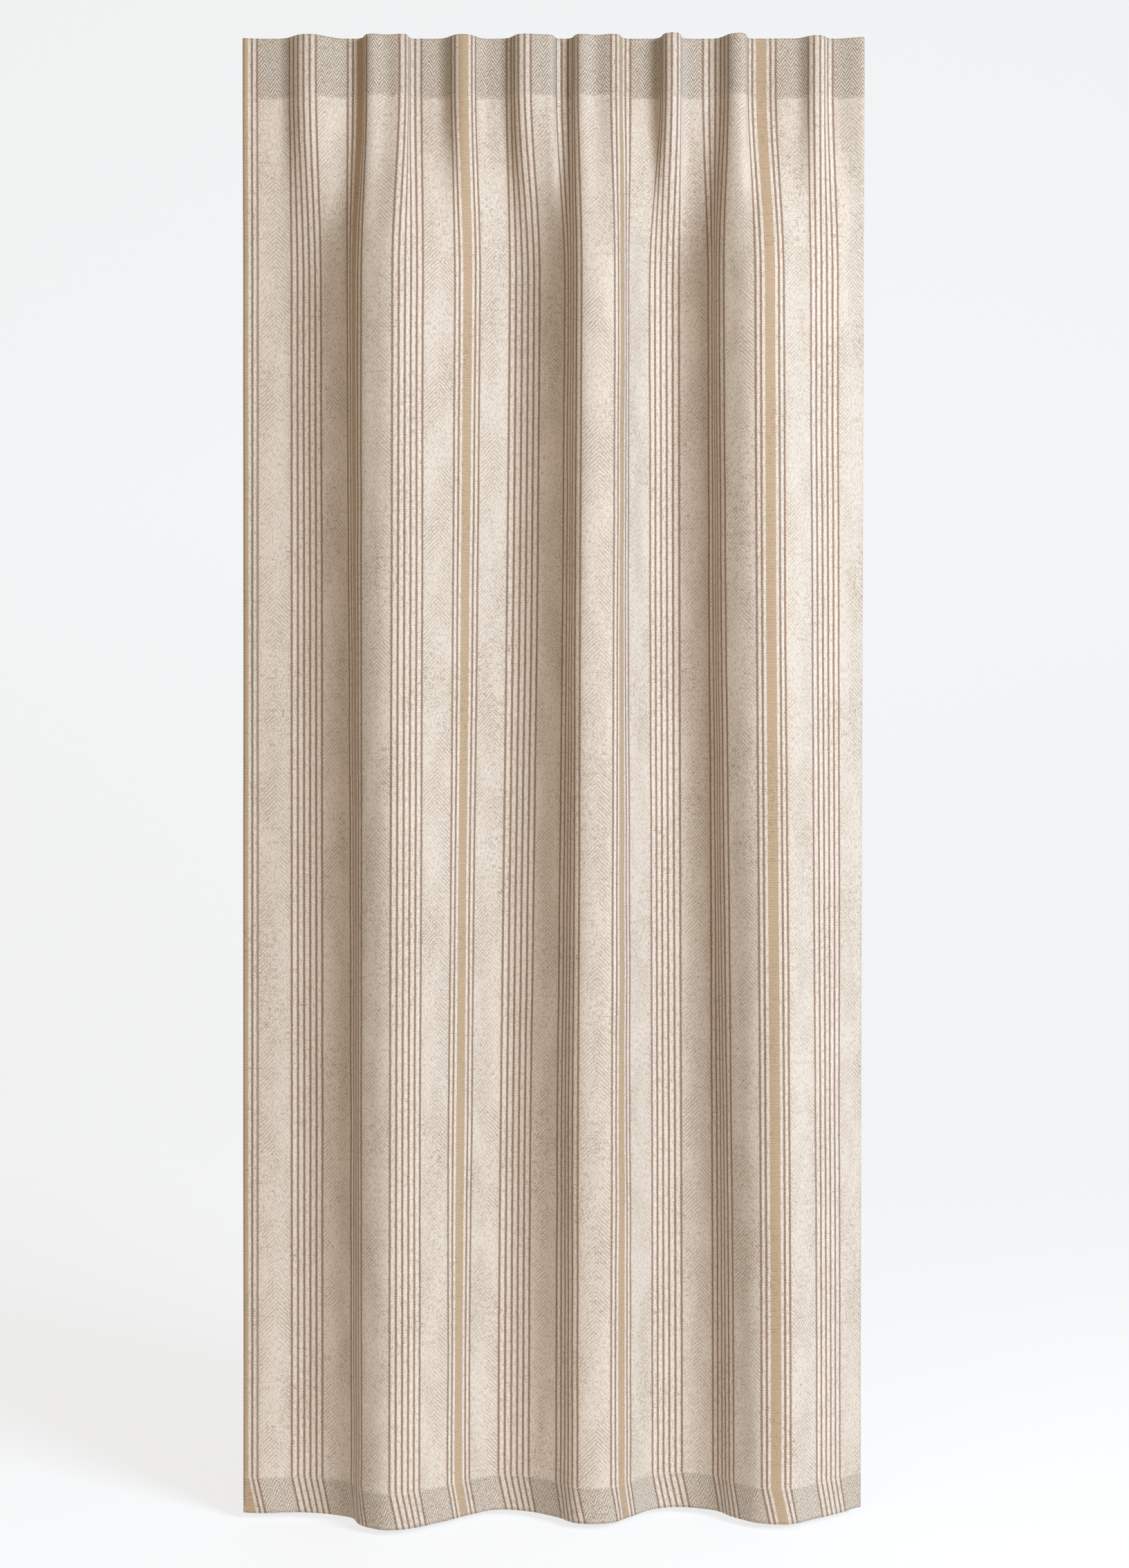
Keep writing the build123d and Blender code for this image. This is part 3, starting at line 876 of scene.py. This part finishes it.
def bar_tacks(number, material):
    """Two bars of close zigzag stitches that hold the tab's ends."""
    tab_x = tab_middle_x(number)
    _, meet_z = tab_line()
    y = TAB_END_Y + TAB_T / 2 + THREAD_OUT
    made = []
    for z in (TAB_MIDDLE_R - TACK_IN, meet_z - TACK_IN):
        for count in range(TACK_STITCHES):
            x = tab_x + TACK_WIDTH * (count / (TACK_STITCHES - 1) - 0.5)
            lean = TACK_LEAN * (1 if count % 2 else -1)
            start = (x - lean, y, z - TACK_HALF_HEIGHT)
            end = (x + lean, y, z + TACK_HALF_HEIGHT)
            made.append(stitch(start, end, (0, 1, 0), TACK_THREAD_R, rings=4))
    return join(f"bar_tacks_{number}", made, material)


LABEL_WIDTH = 30 * MM
LABEL_DROP = 45 * MM
LABEL_T = 0.3 * MM
LABEL_ABOVE_HEM = 90 * MM
LABEL_OUT = 0.6 * MM
LABEL_FLAT = 12 * MM
LABEL_CURL = 2.2 * MM


def care_label(material):
    """A small blank label that curls a little at its free end."""
    start = SIDE_HEM_DEPTH / 2
    low = HEM_TOP + LABEL_ABOVE_HEM
    places = start + spread((0, LABEL_WIDTH, 1.5 * MM))
    levels = spread((low + LABEL_DROP, low, 2.5 * MM))
    free = (places - start - LABEL_FLAT) / (LABEL_WIDTH - LABEL_FLAT)
    curl = LABEL_CURL * smooth(free)
    rows, flat = [], []
    for z in levels:
        corner = 1 + 0.5 * (levels[0] - z) / LABEL_DROP
        rows.append(cloth_points(places, z, TURNOVER_AT + LABEL_OUT + curl * corner))
        flat.append([(a, TOP - z) for a in places])
    return grid_piece("blank_label", rows, flat, material, LABEL_T)


# ---------------------------------------------------------------- build the curtain
cloth = cloth_material("striped_cloth", None)
turned_cloth = cloth_material("striped_cloth_turned", 1.0)
tape_weave = webbing_material("tape_weave", srgb(232, 226, 214), srgb(196, 186, 170), False)
tab_weave = webbing_material("tab_webbing", srgb(228, 220, 206), srgb(188, 176, 158), True)
thread = thread_material()

right_start = FLAT_WIDTH - SIDE_HEM_DEPTH

front = front_cloth(cloth)
turnover = turned_edge("heading_turned_back", HEADING_LOW, TOP, turned_cloth)
hem = turned_edge("bottom_hem_turned_up", HEM_TOP, BOTTOM, turned_cloth)
left_hem = side_hem("side_hem_left", SIDE_HEM_DEPTH, 0.0, cloth)
right_hem = side_hem("side_hem_right", right_start, FLAT_WIDTH, cloth)
tape = heading_tape(tape_weave)
label = care_label(label_material())

# the rows of stitching: the node, its visible piece, how the row runs, where it is, and
# how deep behind the front it comes out
side_row_low, side_row_high = HEM_TOP + SIDE_ROW_GAP, HEADING_LOW - SIDE_ROW_GAP
left_row, right_row = SIDE_HEM_DEPTH - HEM_STITCH_INSET, right_start + HEM_STITCH_INSET
tape_back, turned_back = TAPE_AT + TAPE_T, TURNOVER_AT + CLOTH_T
side_back = SIDE_HEM_AT + CLOTH_T
stitched_rows = [
    (
        "tape_top_stitching",
        "stitches_tape_top",
        stitch_across,
        (TAPE_TOP - TAPE_STITCH_INSET,),
        tape_back,
    ),
    (
        "tape_lower_stitching",
        "stitches_tape_low",
        stitch_across,
        (TAPE_LOW + TAPE_STITCH_INSET,),
        tape_back,
    ),
    (
        "bottom_hem_stitching",
        "stitches_bottom_hem",
        stitch_across,
        (HEM_TOP - HEM_STITCH_INSET,),
        turned_back,
    ),
    (
        "left_hem_stitching",
        "stitches_left_hem",
        stitch_down,
        (left_row, side_row_low, side_row_high),
        side_back,
    ),
    (
        "right_hem_stitching",
        "stitches_right_hem",
        stitch_down,
        (right_row, side_row_low, side_row_high),
        side_back,
    ),
]
rows = {}
for node, name, row, where, back_at in stitched_rows:
    rows[node] = both_sides(name, row, where, back_at, thread)

# the cloth and what is sewn to it gather towards the fixed end as the curtain is drawn
gathered = {
    "face_panel": front,
    "heading_turnover": turnover,
    "bottom_hem": hem,
    "left_side_hem": left_hem,
    "right_side_hem": right_hem,
    "heading_tape": tape,
    "care_label": label,
    **rows,
}
for node, piece in gathered.items():
    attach(piece, "root")
    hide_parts(node)
    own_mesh(piece)

for number in range(1, TAB_COUNT + 1):
    body = "root" if number == 1 else f"tab_{number}_slider"
    made = {
        f"hidden_tab_{number}": hidden_tab(number, tab_weave),
        f"tab_{number}_bar_tacks": bar_tacks(number, thread),
    }
    for node, piece in made.items():
        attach(piece, body)
        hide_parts(node)

# ---------------------------------------------------------------- stage, light, camera
FLOOR_GAP = 12 * MM
STAGE_FRONT = -12.0
STAGE_BACK = 7.0
STAGE_BEND = 2.5
STAGE_HALF_WIDTH = 14.0
STAGE_HEIGHT = 11.0
# the stage starts to glow at the first of these places along Y, and glows fully from the
# second, which gives the bright even backdrop
STAGE_DIM = -1.6
STAGE_BRIGHT = -0.3
STAGE_GLOW = 0.76

WORLD_COLOUR = (1.0, 0.86, 0.72, 1.0)
WORLD_STRENGTH = 0.48
KEY_POWER = 425
KEY_COLOUR = (0.85, 0.93, 1.0)
FILL_POWER = 56
FILL_COLOUR = (1.0, 0.77, 0.43)

middle_x = (panel_low.x + panel_high.x) / 2
middle_z = (TOP + BOTTOM) / 2


def stage_sweep():
    """A plain pale floor just under the hem that sweeps up into a bright backdrop."""
    g = Graph("pale_stage", roughness=0.95)
    _, forward = g.map()
    bright = g.step(forward, STAGE_DIM, STAGE_BRIGHT)
    g.feed(g.mul(bright, STAGE_GLOW), g.shader.inputs["Emission Strength"])
    g.shader.inputs["Base Color"].default_value = srgb(144, 149, 155)
    g.shader.inputs["Emission Color"].default_value = srgb(240, 240, 240)
    level = BOTTOM - FLOOR_GAP
    line = [(STAGE_FRONT, level)]
    for turn in np.linspace(0, math.pi / 2, 17):
        y = STAGE_BACK - STAGE_BEND * (1 - math.sin(turn))
        line.append((y, level + STAGE_BEND * (1 - math.cos(turn))))
    line.append((STAGE_BACK, level + STAGE_HEIGHT))
    rows = [[(x, y, z) for x in (STAGE_HALF_WIDTH, -STAGE_HALF_WIDTH)] for y, z in line]
    flat = [[(0, y), (1, y)] for y, _ in line]
    grid_piece("stage_sweep", rows, flat, g.material)


def area_light(name, place, target, size, power, colour):
    """A soft rectangular lamp that faces its target; the places count from the middle."""
    middle = Vector((middle_x, 0, middle_z))
    light = bpy.data.lights.new(name, "AREA")
    light.shape = "RECTANGLE"
    light.size, light.size_y = size
    light.energy = power
    light.color = colour
    lamp = bpy.data.objects.new(name, light)
    lamp.location = middle + Vector(place)
    facing = middle + Vector(target) - lamp.location
    lamp.rotation_euler = facing.to_track_quat("-Z", "Y").to_euler()
    bpy.context.scene.collection.objects.link(lamp)


stage_sweep()
world = bpy.data.worlds.new("studio")
world.use_nodes = True
background = world.node_tree.nodes["Background"]
background.inputs["Color"].default_value = WORLD_COLOUR
background.inputs["Strength"].default_value = WORLD_STRENGTH
bpy.context.scene.world = world
bpy.context.scene.view_settings.view_transform = "Standard"

# the key light comes from the right, as the shaded flanks of the folds show
area_light("key", (3.6, -4.1, 1.5), (0, 0, 0.3), (2.2, 2.6), KEY_POWER, KEY_COLOUR)
area_light("fill", (-1.9, -4.8, 0.3), (0, 0, 0), (2.5, 3.0), FILL_POWER, FILL_COLOUR)

# the camera: its distance, the height that it sees there, and how far its place lies to
# the right of the panel's middle and above it
CAMERA_AWAY = 4.2
VIEW_HEIGHT = 2.637
VIEW_SIDE = 19 * MM
VIEW_RISE = -13 * MM
camera_data = bpy.data.cameras.new("camera")
camera_data.sensor_fit = "VERTICAL"
camera_data.angle = 2 * math.atan(VIEW_HEIGHT / 2 / CAMERA_AWAY)
camera = bpy.data.objects.new("camera", camera_data)
mean_y = (panel_low.y + panel_high.y) / 2
camera.location = (middle_x + VIEW_SIDE, mean_y - CAMERA_AWAY, middle_z + VIEW_RISE)
camera.rotation_euler = (math.pi / 2, 0, 0)
bpy.context.scene.collection.objects.link(camera)
bpy.context.scene.camera = camera
